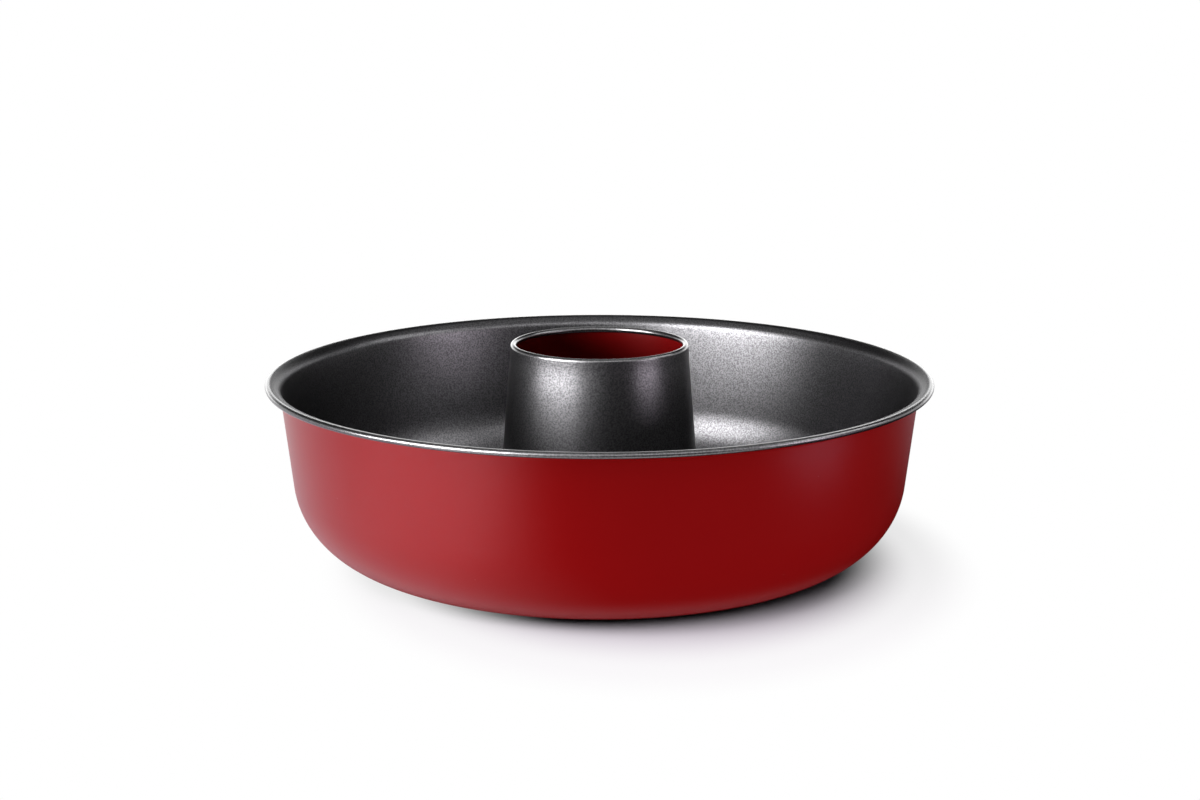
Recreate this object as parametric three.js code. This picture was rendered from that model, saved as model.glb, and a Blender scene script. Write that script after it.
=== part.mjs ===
// Savarin mould: a ring-shaped cake tin with a tapered tube standing through its centre.
// It is made of two pieces drawn from coated steel sheet, a pan and a tube, which a folded
// lock seam holds together under the raised middle of the pan.
// Millimetres, +Z up. The origin is the centre of the plane that the tin stands on.

import * as THREE from 'three';
import { mergeGeometries } from 'three/addons/utils/BufferGeometryUtils.js';

// Sheet
const SHEET = 0.6; // thickness of the steel with its coats
const SEAM_GAP = 0.3; // clearance between neighbouring layers of the seam

// Pan
const RIM_DIAMETER = 260; // over the curled rim
const RIM_HEIGHT = 70; // top of the rim above the table
const RIM_CURL_BORE = 1; // hollow inside the curled edge
const RIM_CURL_TURN = 260; // degrees that the edge is curled through
const RIM_LEVEL = 0.4; // level strip between the flare and the curl
const FLARE_RADIUS = 4.3; // under the flare, from the wall to the rim
const WALL_DRAFT = 6.3; // degrees from upright
const CORNER_RADIUS = 32.4; // inside, from the wall to the floor

// Raised middle of the pan's floor
const MIDDLE_MARGIN = 9; // level strip between the seam and the slope
const MIDDLE_SLOPE = 45; // degrees from level
const MIDDLE_BEND = 2; // inside radius of the bends at both ends of the slope

// Tube
const TUBE_HEIGHT = 82; // top of the lip above the table
const LIP_DIAMETER = 70; // over the rolled lip
const LIP_CURL_BORE = 1.2; // hollow inside the rolled lip
const LIP_CURL_TURN = 250; // degrees that the lip is rolled through
const NECK_RADIUS = 65; // outside the wall, which is upright under the lip and curves to its draft
const TUBE_DRAFT = 4.8; // degrees from upright

// Lock seam
const HOOK_LENGTH = 3; // straight part of each folded edge
const SEAM_LIFT = 0.8; // underside of the seam above the table

// Fineness of the facets
const SEGMENTS = 60; // round the axis
const CHORD_SAG = 0.1; // most that a bend's chord may leave its arc
const WIDEST_STEP = 45; // degrees of a bend in one chord

const { degToRad } = THREE.MathUtils;
const LEVEL_INWARD = Math.PI;
const HALF_TURN = Math.PI;
const QUARTER_TURN = Math.PI / 2;

// A sheet seen edge on: the middle line of its section, laid as straight runs and bends that
// follow on smoothly. x is the distance from the axis and y the height. Headings are in
// radians, anticlockwise from outward.
class SheetPath {
  constructor(start, heading) {
    this.at = start.clone();
    this.heading = heading;
    this.stations = [];
    this.mark();
  }

  // Starts on a circle, at an angle seen from its centre, and goes round it in the given sense.
  static onCircle(centre, radius, angle, sense) {
    const start = new THREE.Vector2(radius, 0).rotateAround(new THREE.Vector2(), angle).add(centre);
    return new SheetPath(start, angle + sense * QUARTER_TURN);
  }

  mark() {
    this.stations.push({ point: this.at.clone(), heading: this.heading });
    return this;
  }

  run(length) {
    this.at.x += length * Math.cos(this.heading);
    this.at.y += length * Math.sin(this.heading);
    return this.mark();
  }

  runToDistance(distance) {
    return this.run((distance - this.at.x) / Math.cos(this.heading));
  }

  runToHeight(height) {
    return this.run((height - this.at.y) / Math.sin(this.heading));
  }

  // Turns by an angle on a middle line of this radius, to the left where the angle is positive.
  bend(radius, angle) {
    const finest = 2 * Math.acos(Math.max(0, 1 - CHORD_SAG / radius));
    const steps = Math.ceil(Math.abs(angle) / Math.min(finest, degToRad(WIDEST_STEP)));
    const side = Math.sign(angle) * QUARTER_TURN;
    const centre = new THREE.Vector2(
      this.at.x + radius * Math.cos(this.heading + side),
      this.at.y + radius * Math.sin(this.heading + side),
    );
    for (let step = 0; step < steps; step += 1) {
      this.at.rotateAround(centre, angle / steps);
      this.heading += angle / steps;
      this.mark();
    }
    return this;
  }

  bendTo(radius, heading) {
    return this.bend(radius, heading - this.heading);
  }

  // The line half a sheet to the left of the middle line, or to the right where side is -1.
  face(side) {
    const offset = (side * SHEET) / 2;
    return this.stations.map(({ point, heading }) => new THREE.Vector2(
      point.x - offset * Math.sin(heading),
      point.y + offset * Math.cos(heading),
    ));
  }
}

// A closed ring of sheet turned about the Z axis, with a coat on each face. The left coat also
// covers the sheet's two cut edges.
function turnedSheet(name, path, leftCoat, rightCoat) {
  const right = path.face(-1);
  const left = path.face(1).reverse();
  const leftWithEdges = [right.at(-1), ...left, right[0]];
  const faces = [right, leftWithEdges].map((line) => new THREE.LatheGeometry(line, SEGMENTS));
  const geometry = mergeGeometries(faces, true).rotateX(QUARTER_TURN);
  const mesh = new THREE.Mesh(geometry, [rightCoat, leftCoat]);
  mesh.name = name;
  return mesh;
}

// The seam's layers lie one pitch apart. From the top they are the pan's floor, the tube's
// folded edge, the pan's folded edge and the tube's foot.
const seamPitch = SHEET + SEAM_GAP;
const middleHeight = SEAM_LIFT + SHEET / 2 + 3 * seamPitch;
const footRadius = 2 * seamPitch;

// The tube's lip, neck, wall and foot: from the free edge of the lip over its top, down the outside
// and out under the pan, to where the foot is level.
function tubeToFoot() {
  const draft = degToRad(TUBE_DRAFT);
  const lipRadius = (LIP_CURL_BORE + SHEET) / 2;
  const lipOutside = lipRadius + SHEET / 2;
  const lipCentre = new THREE.Vector2(LIP_DIAMETER / 2 - lipOutside, TUBE_HEIGHT - lipOutside);
  const lipTurn = degToRad(LIP_CURL_TURN);
  return SheetPath.onCircle(lipCentre, lipRadius, lipTurn, -1)
    .bend(lipRadius, -lipTurn)
    .bend(NECK_RADIUS + SHEET / 2, draft)
    .runToHeight(middleHeight - seamPitch - footRadius * Math.sin(draft))
    .bendTo(footRadius, 0);
}

// The pan: from the free edge of the rim's curl over the flare, down the wall, in along the
// floor, up to its raised middle and back under it round the tube. Seam is the distance from
// the axis at which the folded edges start.
function panPath(seam) {
  const draft = degToRad(WALL_DRAFT);
  const slope = degToRad(MIDDLE_SLOPE);
  const curlRadius = (RIM_CURL_BORE + SHEET) / 2;
  const curlOutside = curlRadius + SHEET / 2;
  const curlCentre = new THREE.Vector2(RIM_DIAMETER / 2 - curlOutside, RIM_HEIGHT - curlOutside);
  const curlTurn = degToRad(RIM_CURL_TURN);
  const cornerRadius = CORNER_RADIUS + SHEET / 2;
  const floorHeight = SHEET / 2;
  const bendRadius = MIDDLE_BEND + SHEET / 2;
  const bendRise = bendRadius * (1 - Math.cos(slope));
  const slopeRise = middleHeight - floorHeight - 2 * bendRise;
  const slopeSpread = 2 * bendRadius * Math.sin(slope) + slopeRise / Math.tan(slope);
  const seamOutside = seam + HOOK_LENGTH + seamPitch + SHEET / 2;
  return SheetPath.onCircle(curlCentre, curlRadius, QUARTER_TURN - curlTurn, 1)
    .bend(curlRadius, curlTurn)
    .run(RIM_LEVEL)
    .bend(FLARE_RADIUS + SHEET / 2, QUARTER_TURN - draft)
    .runToHeight(floorHeight + cornerRadius * (1 - Math.sin(draft)))
    .bendTo(cornerRadius, LEVEL_INWARD)
    .runToDistance(seamOutside + MIDDLE_MARGIN + slopeSpread)
    .bend(bendRadius, -slope)
    .runToHeight(middleHeight - bendRise)
    .bendTo(bendRadius, LEVEL_INWARD)
    .runToDistance(seam)
    .bend(seamPitch, HALF_TURN)
    .run(HOOK_LENGTH);
}

const redLacquer = new THREE.MeshStandardMaterial({ color: 0x9c1618, roughness: 0.35, metalness: 0.2 });
const nonStick = new THREE.MeshStandardMaterial({ color: 0x3a3b3d, roughness: 0.45, metalness: 0.6 });

const tube = tubeToFoot();
const seam = tube.at.x;
tube.run(HOOK_LENGTH).bend(seamPitch, HALF_TURN).run(HOOK_LENGTH);

const mould = new THREE.Group();
mould.add(turnedSheet('ring_pan', panPath(seam), redLacquer, nonStick));
mould.add(turnedSheet('centre_tube', tube, nonStick, redLacquer));

export default mould;
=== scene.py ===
"""Savarin mould: a ring cake tin with a tapered tube through its centre, as it looks in a studio.

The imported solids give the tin's place and overall size. Both drawn sheets are turned again here
with fine bends. Each sheet is shown as the two coats that meet inside it: red lacquer on one face
and a dark metallic non-stick coat on the other. Lengths are metres and angles are radians, unless
a name says degrees.
"""

from __future__ import annotations

import cmath
import logging
import math
from abc import ABC, abstractmethod
from dataclasses import dataclass, field
from enum import Enum
from typing import Mapping, Sequence, Union

import bmesh
import bpy
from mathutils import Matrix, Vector

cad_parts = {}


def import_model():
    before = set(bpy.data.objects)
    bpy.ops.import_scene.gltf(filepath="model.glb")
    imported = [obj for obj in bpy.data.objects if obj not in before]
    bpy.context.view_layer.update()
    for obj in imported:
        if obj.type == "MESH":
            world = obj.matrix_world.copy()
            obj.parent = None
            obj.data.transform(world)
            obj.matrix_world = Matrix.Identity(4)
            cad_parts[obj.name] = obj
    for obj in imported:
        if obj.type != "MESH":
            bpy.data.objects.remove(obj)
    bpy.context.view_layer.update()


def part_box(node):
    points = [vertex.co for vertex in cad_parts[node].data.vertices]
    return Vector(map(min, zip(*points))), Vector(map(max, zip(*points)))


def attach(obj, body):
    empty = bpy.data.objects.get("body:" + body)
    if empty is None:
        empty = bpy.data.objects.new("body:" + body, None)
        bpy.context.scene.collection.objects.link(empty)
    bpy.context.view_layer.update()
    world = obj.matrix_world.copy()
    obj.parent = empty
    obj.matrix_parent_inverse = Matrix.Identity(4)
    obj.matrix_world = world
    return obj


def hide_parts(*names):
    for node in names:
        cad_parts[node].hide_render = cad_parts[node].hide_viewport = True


log = logging.getLogger("savarin_mould")

QUARTER_TURN = math.pi / 2
HALF_TURN = math.pi
LEVEL_INWARD = math.pi

# Fineness of the turned meshes
SEGMENTS = 180  # round the axis
CHORD_SAG = 0.00001  # most that a bend's chord may leave its arc
RUN_STEP = 0.004  # longest face along a straight run
SHARP_EDGE = math.radians(40)
POLISH = "polish"  # name of the mesh attribute

Colour = tuple[float, float, float, float]
WHITE: Colour = (1.0, 1.0, 1.0, 1.0)


class Slot(Enum):
    """The record's material slots."""

    RED_LACQUER = "red_lacquer"
    NON_STICK_COAT = "non_stick_coat"


class Face(Enum):
    """A face of a sheet, by the side of its path that it lies on."""

    LEFT = 1
    RIGHT = -1


class Sense(Enum):
    """The way round a circle."""

    ANTICLOCKWISE = 1
    CLOCKWISE = -1


class Lit(Enum):
    """What a lamp lights."""

    COATS = "non-stick faces of both sheets"
    BORE = "lacquer inside the tube"
    WALL = "lacquer on the outside of the pan"
    TABLE = "table top"


class Operation(Enum):
    """The sums that shader sockets can be joined by."""

    ADD = "ADD"
    SUBTRACT = "SUBTRACT"
    MULTIPLY = "MULTIPLY"
    MAXIMUM = "MAXIMUM"


class Wire:
    """A shader socket that takes part in Python expressions."""

    def __init__(self, graph: Graph, socket: bpy.types.NodeSocket) -> None:
        """Keeps the socket, and the graph that its sums are added to."""
        self.graph = graph
        self.socket = socket

    def output(self, name: str) -> Wire:
        """Another output of the node that this socket belongs to."""
        return Wire(self.graph, self.socket.node.outputs[name])

    def __add__(self, other: Operand) -> Wire:
        """This plus the other."""
        return self.graph.joined(Operation.ADD, self, other)

    def __radd__(self, other: Operand) -> Wire:
        """The other plus this."""
        return self.graph.joined(Operation.ADD, other, self)

    def __sub__(self, other: Operand) -> Wire:
        """This less the other."""
        return self.graph.joined(Operation.SUBTRACT, self, other)

    def __rsub__(self, other: Operand) -> Wire:
        """The other less this."""
        return self.graph.joined(Operation.SUBTRACT, other, self)

    def __mul__(self, other: Operand) -> Wire:
        """This times the other."""
        return self.graph.joined(Operation.MULTIPLY, self, other)

    def __rmul__(self, other: Operand) -> Wire:
        """The other times this."""
        return self.graph.joined(Operation.MULTIPLY, other, self)

    def __or__(self, other: Operand) -> Wire:
        """The larger of this and the other."""
        return self.graph.joined(Operation.MAXIMUM, self, other)


Operand = Union[Wire, float, tuple[float, float, float]]
Feed = Union[Wire, float, Sequence[float]]


class Graph:
    """The node tree of a material or a world."""

    def __init__(self, tree: bpy.types.NodeTree) -> None:
        """Starts with an empty tree."""
        self.tree = tree
        self.tree.nodes.clear()

    def node(
        self,
        kind: str,
        settings: Mapping[str, object] | None = None,
        sockets: Mapping[Union[str, int], Feed] | None = None,
    ) -> Wire:
        """Adds a node.

        Args:
            kind: Blender's identifier of the node's type.
            settings: The node's own properties, which are set first.
            sockets: A value or a wire for each input that is used, by its name or its place.

        Returns:
            The node's first output.
        """
        node = self.tree.nodes.new(kind)
        for name, value in (settings or {}).items():
            setattr(node, name, value)
        named = {socket.name: socket for socket in node.inputs if socket.enabled}
        for key, feed in (sockets or {}).items():
            socket = node.inputs[key] if isinstance(key, int) else named[key]
            if isinstance(feed, Wire):
                self.tree.links.new(feed.socket, socket)
            else:
                socket.default_value = feed
        return Wire(self, next(socket for socket in node.outputs if socket.enabled))

    def joined(self, operation: Operation, first: Operand, second: Operand) -> Wire:
        """Joins two values with a Math node, or two vectors with a Vector Math node.

        Args:
            operation: What is done with the two.
            first: A socket, a number or a vector.
            second: A socket, a number or a vector.

        Returns:
            The result's socket.
        """
        operands = (first, second)
        is_vector = any(isinstance(item, Wire) and item.socket.type == "VECTOR" for item in operands)
        kind = "ShaderNodeVectorMath" if is_vector else "ShaderNodeMath"
        feeds = {
            place: (item, item, item) if is_vector and isinstance(item, (int, float)) else item
            for place, item in enumerate(operands)
        }
        return self.node(kind, {"operation": operation.value}, feeds)

    def mixed(self, share: Operand, first: Feed, second: Feed) -> Wire:
        """A colour between two others.

        Args:
            share: 0 for the first colour, 1 for the second.
            first: A colour or a socket.
            second: A colour or a socket.

        Returns:
            The colour's socket.
        """
        sockets = {"Factor": share, "A": first, "B": second}
        return self.node("ShaderNodeMix", {"data_type": "RGBA"}, sockets)

    def eased(self, value: Wire, start: float, end: float) -> Wire:
        """A smooth step, 0 where the value is at start and 1 where it is at end."""
        sockets = {"Value": value, "From Min": start, "From Max": end}
        return self.node("ShaderNodeMapRange", {"interpolation_type": "SMOOTHSTEP"}, sockets)

    def noise(self, place: Wire, size: float, detail: float = 0.0) -> Wire:
        """Soft noise.

        Args:
            place: Where it is read.
            size: Length of one of its waves.
            detail: How many times finer waves are added.

        Returns:
            A value from 0 to 1, about 0.5 on average.
        """
        return self.node("ShaderNodeTexNoise", {}, {"Vector": place, "Scale": 1 / size, "Detail": detail})

    def length(self, vector: Wire) -> Wire:
        """How long a vector is."""
        return self.node("ShaderNodeVectorMath", {"operation": "LENGTH"}, {0: vector}).output("Value")

    def object_place(self) -> Wire:
        """Where a point lies on its object."""
        return self.node("ShaderNodeTexCoord").output("Object")

    def show(self, kind: str, surface: Wire) -> None:
        """Ends the tree in an output node of that kind."""
        end = self.tree.nodes.new(kind)
        self.tree.links.new(surface.socket, end.inputs["Surface"])


class Finish(ABC):
    """What a face of a sheet is coated with."""

    slot: Slot

    @abstractmethod
    def surface(self, graph: Graph) -> Wire:
        """The shader of the finish, drawn into the graph."""

    def material(self) -> bpy.types.Material:
        """A new material with this finish."""
        made = bpy.data.materials.new(self.slot.value)
        made.use_nodes = True
        graph = Graph(made.node_tree)
        graph.show("ShaderNodeOutputMaterial", self.surface(graph))
        return made


@dataclass(frozen=True)
class RedLacquer(Finish):
    """Baked satin lacquer: deep red, with a faint orange peel and a few specks of dust in it."""

    slot: Slot = Slot.RED_LACQUER
    colour: Colour = (0.36, 0.004, 0.005, 1.0)
    thin_colour: Colour = (0.39, 0.005, 0.006, 1.0)
    speck_colour: Colour = (0.55, 0.16, 0.15, 1.0)
    cloud_size: float = 0.05
    cloud_detail: float = 2.0
    roughness: float = 0.295
    roughness_spread: float = 0.04
    refraction: float = 1.55
    peel_size: float = 0.0016
    peel_detail: float = 1.0
    peel_height: float = 0.000004
    speck_spacing: float = 0.011
    speck_radius: float = 0.00022
    speck_core: float = 0.6  # share of the radius within which a speck has its full colour

    def surface(self, graph: Graph) -> Wire:
        """The lacquer's shader.

        Args:
            graph: The tree that it is drawn into.

        Returns:
            The shader's socket.
        """
        place = graph.object_place()
        cloud = graph.noise(place, self.cloud_size, self.cloud_detail)
        peel = graph.noise(place, self.peel_size, self.peel_detail)
        cell = graph.node("ShaderNodeTexVoronoi", {}, {"Vector": place, "Scale": 1 / self.speck_spacing})
        edge = self.speck_radius / self.speck_spacing
        speck = graph.eased(cell, edge, self.speck_core * edge)
        lacquer = graph.mixed(cloud, self.colour, self.thin_colour)
        bump = graph.node(
            "ShaderNodeBump",
            {},
            {"Strength": 1.0, "Distance": self.peel_height, "Height": peel},
        )
        return graph.node(
            "ShaderNodeBsdfPrincipled",
            {},
            {
                "Base Color": graph.mixed(speck, lacquer, self.speck_colour),
                "Roughness": self.roughness + self.roughness_spread * (cloud - 0.5),
                "IOR": self.refraction,
                "Normal": bump,
            },
        )


@dataclass(frozen=True)
class NonStickCoat(Finish):
    """Baked non-stick coat: dark grey with metal flakes, which give it a fine sparkling grain."""

    slot: Slot = Slot.NON_STICK_COAT
    dark_colour: Colour = (0.050, 0.049, 0.052, 1.0)
    light_colour: Colour = (0.112, 0.110, 0.114, 1.0)
    edge_tint: Colour = (0.6, 0.6, 0.6, 1.0)  # of what it mirrors at a slant
    metallic: float = 1.0
    roughness: float = 0.33
    roughness_spread: float = 0.08
    polished_roughness: float = 0.16
    grain_size: float = 0.00062
    grain_detail: float = 2.0
    grain_height: float = 0.00005
    flake_start: float = 0.3  # level of the grain at which a flake begins to show
    flake_end: float = 0.7

    def surface(self, graph: Graph) -> Wire:
        """The coat's shader.

        Args:
            graph: The tree that it is drawn into.

        Returns:
            The shader's socket.
        """
        place = graph.object_place()
        grain = graph.noise(place, self.grain_size, self.grain_detail)
        flake = graph.eased(grain, self.flake_start, self.flake_end)
        bump = graph.node(
            "ShaderNodeBump",
            {},
            {"Strength": 1.0, "Distance": self.grain_height, "Height": grain},
        )
        return graph.node(
            "ShaderNodeBsdfPrincipled",
            {},
            {
                "Base Color": graph.mixed(flake, self.dark_colour, self.light_colour),
                "Metallic": self.metallic,
                "Specular Tint": self.edge_tint,
                "Roughness": self.roughness + self.roughness_spread * (0.5 - grain),
                "Normal": bump,
                "Coat Weight": graph.node("ShaderNodeAttribute", {"attribute_name": POLISH}).output("Fac"),
                "Coat Roughness": self.polished_roughness,
            },
        )


@dataclass
class SheetPath:
    """A sheet seen edge on: the middle line of its section, in runs and bends that follow on smoothly.

    A place is a complex number, with the distance from the axis as its real part and the height as
    its imaginary part. Headings are anticlockwise from outward. The path starts at the sheet's rolled
    edge, which the rollers have polished.
    """

    at: complex
    heading: float
    polish: float = 1.0
    stations: list[tuple[complex, float]] = field(default_factory=list)
    polishes: list[float] = field(default_factory=list)

    def __post_init__(self) -> None:
        """Marks the start."""
        self.mark()

    @classmethod
    def on_circle(cls, centre: complex, radius: float, angle: float, sense: Sense) -> SheetPath:
        """Starts on a circle.

        Args:
            centre: The circle's centre.
            radius: The circle's radius.
            angle: Where the path starts, seen from the centre.
            sense: The way that the path then goes.

        Returns:
            The path with its first station.
        """
        return cls(centre + cmath.rect(radius, angle), angle + sense.value * QUARTER_TURN)

    def mark(self) -> None:
        """Adds a station at the path's end."""
        self.stations.append((self.at, self.heading))
        self.polishes.append(self.polish)

    def polished(self, polish: float) -> SheetPath:
        """Changes the polish from here on, and returns the path."""
        self.polish = polish
        return self

    def run(self, length: float) -> SheetPath:
        """Goes straight on for a length, and returns the path."""
        steps = max(1, math.ceil(length / RUN_STEP))
        for _ in range(steps):
            self.at += cmath.rect(length / steps, self.heading)
            self.mark()
        return self

    def run_to_distance(self, distance: float) -> SheetPath:
        """Goes straight on to a distance from the axis, and returns the path."""
        return self.run((distance - self.at.real) / math.cos(self.heading))

    def run_to_height(self, height: float) -> SheetPath:
        """Goes straight on to a height, and returns the path."""
        return self.run((height - self.at.imag) / math.sin(self.heading))

    def bend(self, radius: float, angle: float) -> SheetPath:
        """Turns on an arc.

        Args:
            radius: The arc's radius on the middle line.
            angle: How far it turns, to the left where this is positive.

        Returns:
            The path.
        """
        finest = 2 * math.acos(1 - CHORD_SAG / radius)
        steps = math.ceil(abs(angle) / finest)
        centre = self.at + cmath.rect(radius, self.heading + math.copysign(QUARTER_TURN, angle))
        for _ in range(steps):
            self.at = centre + (self.at - centre) * cmath.rect(1, angle / steps)
            self.heading += angle / steps
            self.mark()
        return self

    def bend_to(self, radius: float, heading: float) -> SheetPath:
        """Turns on an arc until it has a heading, and returns the path."""
        return self.bend(radius, heading - self.heading)

    def beside(self, offset: float) -> list[complex]:
        """The line at an offset to the left of the middle line."""
        return [at + cmath.rect(offset, heading + QUARTER_TURN) for at, heading in self.stations]


def turned(name: str, outline: Sequence[complex], polishes: Sequence[float]) -> bpy.types.Object:
    """Turns a closed outline about the Z axis.

    Args:
        name: The new object's name.
        outline: The section's corners in order, as distances from the axis and heights.
        polishes: How polished each corner is, from 0 to 1.

    Returns:
        The object, with smooth faces that point out and sharp edges where the section has corners.
    """
    count = len(outline)
    headings = [cmath.rect(1, math.tau * turn / SEGMENTS) for turn in range(SEGMENTS)]
    points = [(at.real * out.real, at.real * out.imag, at.imag) for out in headings for at in outline]
    faces = [
        (
            turn * count + corner,
            (turn + 1) % SEGMENTS * count + corner,
            (turn + 1) % SEGMENTS * count + (corner + 1) % count,
            turn * count + (corner + 1) % count,
        )
        for turn in range(SEGMENTS)
        for corner in range(count)
    ]
    mesh = bpy.data.meshes.new(name)
    mesh.from_pydata(points, [], faces)
    shell = bmesh.new()
    shell.from_mesh(mesh)
    bmesh.ops.recalc_face_normals(shell, faces=shell.faces)
    shell.to_mesh(mesh)
    shell.free()
    mesh.shade_smooth()
    mesh.set_sharp_from_angle(angle=SHARP_EDGE)
    polish = mesh.attributes.new(POLISH, "FLOAT", "POINT")
    polish.data.foreach_set("value", [*polishes] * SEGMENTS)
    made = bpy.data.objects.new(name, mesh)
    bpy.context.scene.collection.objects.link(made)
    return made


@dataclass(frozen=True)
class LockSeam:
    """The folded seam that holds the tube in the pan, in four layers under the raised middle."""

    sheet: float = 0.0006
    gap: float = 0.0003
    hook_length: float = 0.003
    lift: float = 0.0008

    @property
    def pitch(self) -> float:
        """From one layer's middle to the next."""
        return self.sheet + self.gap

    @property
    def top_height(self) -> float:
        """Height of the uppermost layer, the pan's floor."""
        return self.lift + self.sheet / 2 + 3 * self.pitch


@dataclass
class DrawnSheet(ABC):
    """A piece drawn from coated sheet, shown as the coats on its two faces."""

    seam: LockSeam
    coats: dict[Face, bpy.types.Object] = field(default_factory=dict, init=False)

    node = ""
    core_gap = 0.00002  # left between the two coats inside the sheet

    @abstractmethod
    def path(self) -> SheetPath:
        """The middle line of the sheet's section."""

    def build(self) -> None:
        """Makes a closed mesh for the coat on each face, from the face to the middle of the sheet."""
        path = self.path()
        for face in Face:
            outside = path.beside(face.value * self.seam.sheet / 2)
            inside = path.beside(face.value * self.core_gap / 2)
            name = f"{self.node}_{face.name.lower()}"
            polishes = path.polishes + path.polishes[::-1]
            self.coats[face] = turned(name, outside + inside[::-1], polishes)

    def dress(self, finishes: Mapping[Face, Finish], materials: Mapping[Slot, bpy.types.Material]) -> None:
        """Gives each coat its finish and name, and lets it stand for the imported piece.

        Args:
            finishes: What each face is coated with.
            materials: The material of each slot.
        """
        for face, coat in self.coats.items():
            slot = finishes[face].slot
            coat.name = f"{self.node}_{slot.value}"
            coat.data.materials.append(materials[slot])
            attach(coat, "root")
            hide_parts(self.node)
            log.info("%s: %d faces", coat.name, len(coat.data.polygons))


@dataclass
class CentreTube(DrawnSheet):
    """The tapered tube, from its rolled lip down to the foot that is folded into the seam."""

    height: float
    lip_diameter: float = 0.070
    lip_curl_bore: float = 0.0012
    lip_curl_turn: float = math.radians(250)
    lip_dull_turn: float = math.radians(6)  # last part of the curl, which isn't polished
    neck_radius: float = 0.065
    draft: float = math.radians(4.8)

    node = "centre_tube"

    def to_foot(self) -> SheetPath:
        """The lip, the neck and the wall, to where the foot is level.

        Returns:
            The path, which ends where the folded edges start.
        """
        curl = (self.lip_curl_bore + self.seam.sheet) / 2
        outside = curl + self.seam.sheet / 2
        centre = complex(self.lip_diameter / 2 - outside, self.height - outside)
        foot_bend = 2 * self.seam.pitch
        foot_height = self.seam.top_height - 3 * self.seam.pitch
        return (
            SheetPath.on_circle(centre, curl, self.lip_curl_turn, Sense.CLOCKWISE)
            .bend(curl, self.lip_dull_turn - self.lip_curl_turn)
            .polished(0.0)
            .bend(curl, -self.lip_dull_turn)
            .bend(self.neck_radius + self.seam.sheet / 2, self.draft)
            .run_to_height(foot_height + foot_bend * (1 - math.sin(self.draft)))
            .bend_to(foot_bend, 0.0)
        )

    def seam_distance(self) -> float:
        """Distance from the axis at which the folded edges start."""
        return self.to_foot().at.real

    def path(self) -> SheetPath:
        """The whole tube, with its foot's edge folded back over the foot."""
        hook = self.seam.hook_length
        return self.to_foot().run(hook).bend(self.seam.pitch, HALF_TURN).run(hook)


@dataclass
class RingPan(DrawnSheet):
    """The pan, from its curled rim down the wall and in to the edge that is folded into the seam."""

    rim_diameter: float
    rim_height: float
    seam_distance: float
    rim_curl_bore: float = 0.001
    rim_curl_turn: float = math.radians(260)
    rim_level: float = 0.0004
    flare_radius: float = 0.0043
    wall_draft: float = math.radians(6.3)
    corner_radius: float = 0.0324
    middle_margin: float = 0.009
    middle_slope: float = math.radians(45)
    middle_bend: float = 0.002

    node = "ring_pan"

    def path(self) -> SheetPath:
        """The rim, wall, corner, floor, raised middle and folded edge.

        Returns:
            The middle line of the pan's section.
        """
        half_sheet = self.seam.sheet / 2
        curl = self.rim_curl_bore / 2 + half_sheet
        outside = curl + half_sheet
        centre = complex(self.rim_diameter / 2 - outside, self.rim_height - outside)
        corner = self.corner_radius + half_sheet
        bend = self.middle_bend + half_sheet
        bend_rise = bend * (1 - math.cos(self.middle_slope))
        slope_rise = self.seam.top_height - half_sheet - 2 * bend_rise
        spread = 2 * bend * math.sin(self.middle_slope) + slope_rise / math.tan(self.middle_slope)
        seam_outside = self.seam_distance + self.seam.hook_length + self.seam.pitch + half_sheet
        return (
            SheetPath.on_circle(centre, curl, QUARTER_TURN - self.rim_curl_turn, Sense.ANTICLOCKWISE)
            .bend(curl, self.rim_curl_turn)
            .run(self.rim_level)
            .polished(0.0)
            .bend(self.flare_radius + half_sheet, QUARTER_TURN - self.wall_draft)
            .run_to_height(half_sheet + corner * (1 - math.sin(self.wall_draft)))
            .bend_to(corner, LEVEL_INWARD)
            .run_to_distance(seam_outside + self.middle_margin + spread)
            .bend(bend, -self.middle_slope)
            .run_to_height(self.seam.top_height - bend_rise)
            .bend_to(bend, LEVEL_INWARD)
            .run_to_distance(self.seam_distance)
            .bend(self.seam.pitch, HALF_TURN)
            .run(self.seam.hook_length)
        )


@dataclass(frozen=True)
class Lamp(ABC):
    """A studio lamp, placed by its bearing from the camera's side of the tin."""

    name: str
    lights: tuple[Lit, ...]
    bearing_degrees: float  # to the right where positive
    distance: float  # from the axis
    height: float  # of its middle
    brightness: float
    aim: tuple[float, float, float] = (0.0, 0.0, 0.04)
    colour: tuple[float, float, float] = (1.0, 1.0, 1.0)
    gives_gloss: bool = True

    @abstractmethod
    def source(self) -> bpy.types.Light:
        """The lamp's own settings."""

    def build(self) -> bpy.types.Object:
        """Hangs the lamp.

        Returns:
            The lamp's object.
        """
        lamp = self.source()
        lamp.color = self.colour
        lamp.cycles.use_multiple_importance_sampling = self.gives_gloss
        made = bpy.data.objects.new(self.name, lamp)
        bearing = math.radians(self.bearing_degrees)
        side = Vector((math.sin(bearing), -math.cos(bearing), 0.0)) * self.distance
        made.location = side + Vector((0.0, 0.0, self.height))
        towards = Vector(self.aim) - made.location
        made.rotation_mode = "QUATERNION"
        made.rotation_quaternion = towards.to_track_quat("-Z", "Y")
        made.visible_camera = False
        made.visible_glossy = self.gives_gloss
        bpy.context.scene.collection.objects.link(made)
        return made


@dataclass(frozen=True)
class SoftBox(Lamp):
    """A square lamp. Its brightness is what a mirror would show of it, where 1 is white."""

    width: float = 1.0
    length: float = 1.0

    def source(self) -> bpy.types.Light:
        """An area lamp of even brightness."""
        lamp = bpy.data.lights.new(self.name, "AREA")
        lamp.shape = "RECTANGLE"
        lamp.size = self.width
        lamp.size_y = self.length
        lamp.energy = self.brightness * math.pi * self.width * self.length
        return lamp


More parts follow.
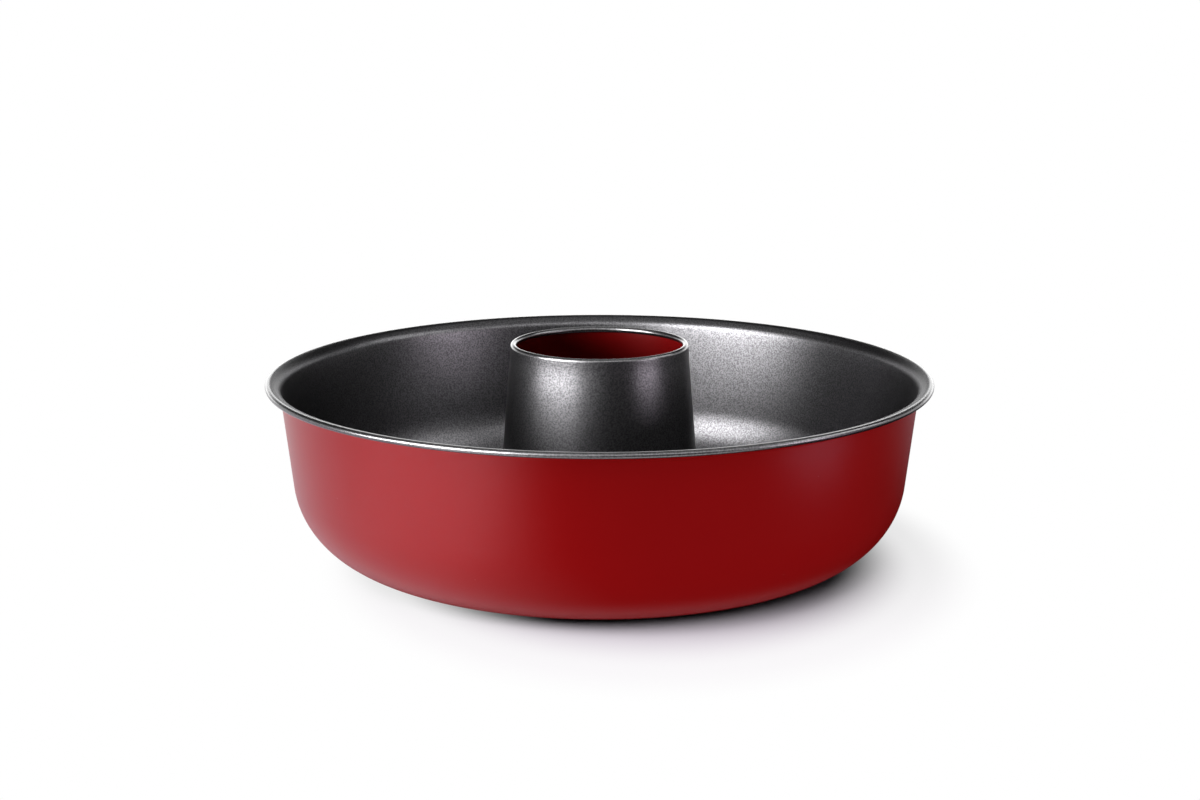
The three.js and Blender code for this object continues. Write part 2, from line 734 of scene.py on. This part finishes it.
@dataclass(frozen=True)
class Snoot(Lamp):
    """A lamp with a narrow beam. Its brightness is that of a white card at its aim, where 1 is white."""

    cone_degrees: float = 12.0
    softness: float = 0.7
    radius: float = 0.03

    def source(self) -> bpy.types.Light:
        """A spot lamp with a soft edge."""
        lamp = bpy.data.lights.new(self.name, "SPOT")
        lamp.spot_size = math.radians(self.cone_degrees)
        lamp.spot_blend = self.softness
        lamp.shadow_soft_size = self.radius
        lamp.energy = self.brightness * 4 * math.pi**2 * self.distance**2
        return lamp


@dataclass(frozen=True)
class Table:
    """The white table top that the tin stands on, which runs out of the picture on all sides.

    What the tin mirrors of it is painted dark in front and to the right, and violet in one patch: painted
    reflections, with no flag or card standing there.
    """

    radius: float = 14.0
    sides: int = 96
    # painted light: this pink-violet tint stands in for the red wall's bounce light in the table's shade,
    # and gives a painted violet to what the tin mirrors near its foot
    colour: Colour = (0.95, 0.86, 0.95, 1.0)
    # Partly painted shade: near the tin the table shows its real lit shadow. Past shade_radius a painted
    # white glow is mixed over it, round an ellipse set off to the right and front of the axis, so the
    # shadow's outline is painted.
    shade_centre: tuple[float, float, float] = (0.020, -0.018, 0.0)
    shade_squeeze: tuple[float, float, float] = (1.2, 1.0, 1.0)  # how much shorter the shade is each way
    shade_radius: float = 0.085  # it looks as its lamps light it up to here
    lit_radius: float = 0.125
    white_radius: float = 0.155  # it looks plain white from here on
    lit_share: float = 0.78  # how white it looks at lit_radius
    # painted reflection: a dark patch that only the tin's mirrored rays see on the table
    painted_dark_reflection_colour: Colour = (0.02, 0.02, 0.02, 1.0)
    dark_reflection_left: float = -0.03  # where the painted dark reflection's left edge begins
    dark_reflection_right: float = 0.07  # where that edge has ended
    dark_reflection_lean: float = 0.5  # how far the edge moves to the right for each length back
    foot_radius: float = 0.095  # where the painted dark reflection begins, from the axis
    dark_reflection_radius: float = 0.114  # where it is full
    dark_reflection_fade: float = 0.4  # where it begins to fade
    dark_reflection_end: float = 0.6  # where it has ended
    back_share: float = 0.5  # how much of the painted dark reflection is lost behind the tin
    # painted reflection: a violet patch that only the tin's mirrored rays see on the table
    painted_violet_colour: Colour = (1.0, 0.74, 1.0, 1.0)
    painted_violet_centre: tuple[float, float, float] = (0.265, -0.135, 0.0)
    painted_violet_radius: float = 0.045
    painted_violet_end: float = 0.085
    behind_start: float = 0.0  # the part behind the tin begins to mirror as white here
    behind_end: float = 0.3

    def surface(self, graph: Graph) -> Wire:
        """The table's shader: lit near the tin, and plain white further out.

        Args:
            graph: The tree that it is drawn into.

        Returns:
            The shader's socket.
        """
        place = graph.node("ShaderNodeNewGeometry")
        rays = graph.node("ShaderNodeLightPath")
        seen = rays.output("Is Camera Ray")
        mirrored = rays.output("Is Glossy Ray") | rays.output("Is Transmission Ray")
        across = graph.node("ShaderNodeSeparateXYZ", {}, {"Vector": place}).output("X")
        depth = across.output("Y")
        distance = graph.length(place)
        behind = graph.eased(depth, self.behind_start, self.behind_end)
        beside = graph.eased(across - self.dark_reflection_lean * depth, self.dark_reflection_left, self.dark_reflection_right)
        close = graph.eased(distance, self.dark_reflection_end, self.dark_reflection_fade)
        clear = graph.eased(distance, self.foot_radius, self.dark_reflection_radius)
        # painted dark reflection, seen only by mirrored rays
        painted_dark_reflection = mirrored * beside * clear * close * (1 - self.back_share * behind)
        # painted violet reflection, seen only by mirrored rays
        reach = graph.length(place - self.painted_violet_centre)
        painted_violet_reflection = mirrored * graph.eased(reach, self.painted_violet_end, self.painted_violet_radius)
        # painted white glow over the real shadow, round the shifted ellipse
        spread = graph.length((place - self.shade_centre) * self.shade_squeeze)
        near = self.lit_share * graph.eased(spread, self.shade_radius, self.lit_radius)
        far = (1 - self.lit_share) * graph.eased(spread, self.lit_radius, self.white_radius)
        white = (near + far) * (seen | mirrored * behind * (1 - beside * close))
        colour = graph.mixed(painted_dark_reflection, self.colour, self.painted_dark_reflection_colour)
        colour = graph.mixed(painted_violet_reflection, colour, self.painted_violet_colour)
        top = graph.node("ShaderNodeBsdfDiffuse", {}, {"Color": colour})
        glow = graph.node("ShaderNodeEmission", {}, {"Color": WHITE, "Strength": 1.0})
        return graph.node("ShaderNodeMixShader", {}, {0: white, 1: top, 2: glow})

    def build(self) -> bpy.types.Object:
        """Lays the table under the tin.

        Returns:
            The table's object.
        """
        mesh = bpy.data.meshes.new("table")
        disc = bmesh.new()
        bmesh.ops.create_circle(disc, cap_ends=True, segments=self.sides, radius=self.radius)
        disc.to_mesh(mesh)
        disc.free()
        material = bpy.data.materials.new("table")
        material.use_nodes = True
        graph = Graph(material.node_tree)
        graph.show("ShaderNodeOutputMaterial", self.surface(graph))
        mesh.materials.append(material)
        made = bpy.data.objects.new("table", mesh)
        made.visible_diffuse = False  # it throws no light up at the tin
        bpy.context.scene.collection.objects.link(made)
        return made


@dataclass(frozen=True)
class Room:
    """The dim room round the table, with a white backdrop behind the tin."""

    dim_colour: Colour = (0.03, 0.03, 0.03, 1.0)
    backdrop_top: float = 0.34  # sine of the angle above level at which the backdrop has ended
    backdrop_fade: float = 0.20  # sine of the angle at which it begins to fade
    backdrop_side: float = 0.3  # sine of the angle behind straight sideways from which it is full

    def build(self) -> None:
        """Sets the scene's world."""
        world = bpy.data.worlds.new("room")
        world.use_nodes = True
        bpy.context.scene.world = world
        graph = Graph(world.node_tree)
        towards = graph.node("ShaderNodeTexCoord")
        depth = graph.node("ShaderNodeSeparateXYZ", {}, {"Vector": towards}).output("Y")
        rays = graph.node("ShaderNodeLightPath")
        mirrored = rays.output("Is Glossy Ray") | rays.output("Is Transmission Ray")
        low = graph.eased(depth.output("Z"), self.backdrop_top, self.backdrop_fade)
        backdrop = mirrored * graph.eased(depth, 0.0, self.backdrop_side) * low
        shown = rays.output("Is Camera Ray") | backdrop
        light = graph.mixed(shown, self.dim_colour, WHITE)
        graph.show("ShaderNodeOutputWorld", graph.node("ShaderNodeBackground", {}, {"Color": light}))


@dataclass(frozen=True)
class Camera:
    """The camera, square on to the tin and a little above it."""

    aim: tuple[float, float, float] = (0.0002, 0.0, 0.0587)
    distance: float = 0.745
    pitch: float = math.radians(12.68)
    lens: float = 56.56  # millimetres, on a sensor 36 millimetres wide

    def build(self) -> None:
        """Places the camera and makes it the scene's own."""
        camera = bpy.data.cameras.new("camera")
        camera.sensor_width = 36.0
        camera.lens = self.lens
        made = bpy.data.objects.new("camera", camera)
        back = Vector((0.0, -math.cos(self.pitch), math.sin(self.pitch)))
        made.location = Vector(self.aim) + self.distance * back
        made.rotation_mode = "QUATERNION"
        made.rotation_quaternion = (-back).to_track_quat("-Z", "Y")
        bpy.context.scene.collection.objects.link(made)
        bpy.context.scene.camera = made


VIOLET = (1.0, 0.91, 1.0)
OVER_RIM_CARD = (-0.0126, -0.1796, 0.04)
TABLE_LEFT = (-0.19, -0.19, 0.0)
WALL_LEFT = (-0.058, -0.055, 0.032)

# Each has its name, what it lights, its bearing, distance, height and brightness
LAMPS: tuple[Lamp, ...] = (
    SoftBox("key_low", (Lit.COATS,), -55.0, 1.1, 0.23, 25.5, width=1.05, length=0.36),
    SoftBox("key_high", (Lit.COATS,), -50.0, 1.0, 0.60, 20.0, width=0.8, length=0.38),
    SoftBox("key_soft", (Lit.COATS,), -38.0, 1.1, 0.22, 1.8, width=1.6, length=0.4),
    SoftBox("fill_low", (Lit.COATS,), 63.0, 1.1, 0.12, 10.5, colour=VIOLET, width=0.48, length=0.22),
    SoftBox("fill_high", (Lit.COATS,), 88.0, 0.9, 0.62, 3.6, width=0.8, length=0.5),
    SoftBox("front", (Lit.COATS,), 0.0, 0.8, 0.72, 3.6, width=2.2, length=0.35),
    SoftBox("back", (Lit.COATS,), 180.0, 1.3, 0.22, 1.5, width=2.6, length=0.34),
    SoftBox("rim_card", (Lit.COATS,), -4.0, 0.18, 0.002, 1.6, aim=OVER_RIM_CARD, width=0.34, length=0.09),
    SoftBox("top", (Lit.COATS,), 0.0, 0.0, 1.1, 0.6, width=1.5, length=1.5),
    SoftBox("bore_key", (Lit.BORE,), -62.0, 1.1, 0.24, 9.0, width=0.72, length=0.40),
    SoftBox("wall_glow", (Lit.WALL,), 0.0, 0.0, 0.001, 0.50, gives_gloss=False, width=1.4, length=1.4),
    SoftBox("wall_front", (Lit.WALL,), 5.0, 1.0, 0.06, 1.2, gives_gloss=False, width=1.6, length=0.4),
    SoftBox("wall_high", (Lit.WALL,), 10.0, 0.6, 0.90, 0.8, gives_gloss=False, width=1.2, length=0.6),
    SoftBox("wall_fill", (Lit.WALL,), 62.0, 1.1, 0.32, 7.0, colour=VIOLET, width=0.30, length=0.22),
    Snoot("table_key", (Lit.TABLE,), -50.0, 0.6, 0.9, 1.4, aim=TABLE_LEFT, cone_degrees=15.0),
    Snoot("wall_key", (Lit.WALL,), -45.0, 1.0, 0.25, 0.47, aim=WALL_LEFT, gives_gloss=False),
    SoftBox("table_top", (Lit.TABLE,), -35.0, 0.5, 1.4, 1.5, width=1.4, length=1.4),
    SoftBox("table_front", (Lit.TABLE,), -30.0, 1.3, 1.2, 3.6, width=2.6, length=1.0),
)


@dataclass(frozen=True)
class Studio:
    """What stands round the tin: table, room, lamps and camera."""

    table: Table = Table()
    room: Room = Room()
    camera: Camera = Camera()

    def build(self, tin: Mapping[Lit, Sequence[bpy.types.Object]]) -> None:
        """Sets the studio up.

        Args:
            tin: The pieces of the tin, by the lamps that they take.
        """
        scene = bpy.context.scene
        scene.view_settings.view_transform = "Standard"
        self.room.build()
        self.camera.build()
        lit = {**tin, Lit.TABLE: [self.table.build()]}
        for lamp in LAMPS:
            group = bpy.data.collections.new(f"lit_by_{lamp.name}")
            for target in lamp.lights:
                for thing in lit[target]:
                    group.objects.link(thing)
            lamp.build().light_linking.receiver_collection = group


def main() -> None:
    """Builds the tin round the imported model, and the studio round the tin."""
    logging.basicConfig(level=logging.INFO)
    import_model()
    pan_low, pan_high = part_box("ring_pan")
    tube_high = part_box("centre_tube")[1]

    lacquer = RedLacquer()
    coat = NonStickCoat()
    materials = {finish.slot: finish.material() for finish in (lacquer, coat)}

    seam = LockSeam()
    tube = CentreTube(seam, height=tube_high.z)
    tube.build()
    tube.dress({Face.LEFT: coat, Face.RIGHT: lacquer}, materials)

    pan = RingPan(
        seam,
        rim_diameter=pan_high.x - pan_low.x,
        rim_height=pan_high.z,
        seam_distance=tube.seam_distance(),
    )
    pan.build()
    pan.dress({Face.LEFT: lacquer, Face.RIGHT: coat}, materials)

    pan.coats[Face.LEFT].visible_diffuse = False  # the wall throws no red light on to the table
    Studio().build(
        {
            Lit.COATS: [tube.coats[Face.LEFT], pan.coats[Face.RIGHT]],
            Lit.BORE: [tube.coats[Face.RIGHT]],
            Lit.WALL: [pan.coats[Face.LEFT]],
        }
    )


if __name__ == "__main__":
    main()
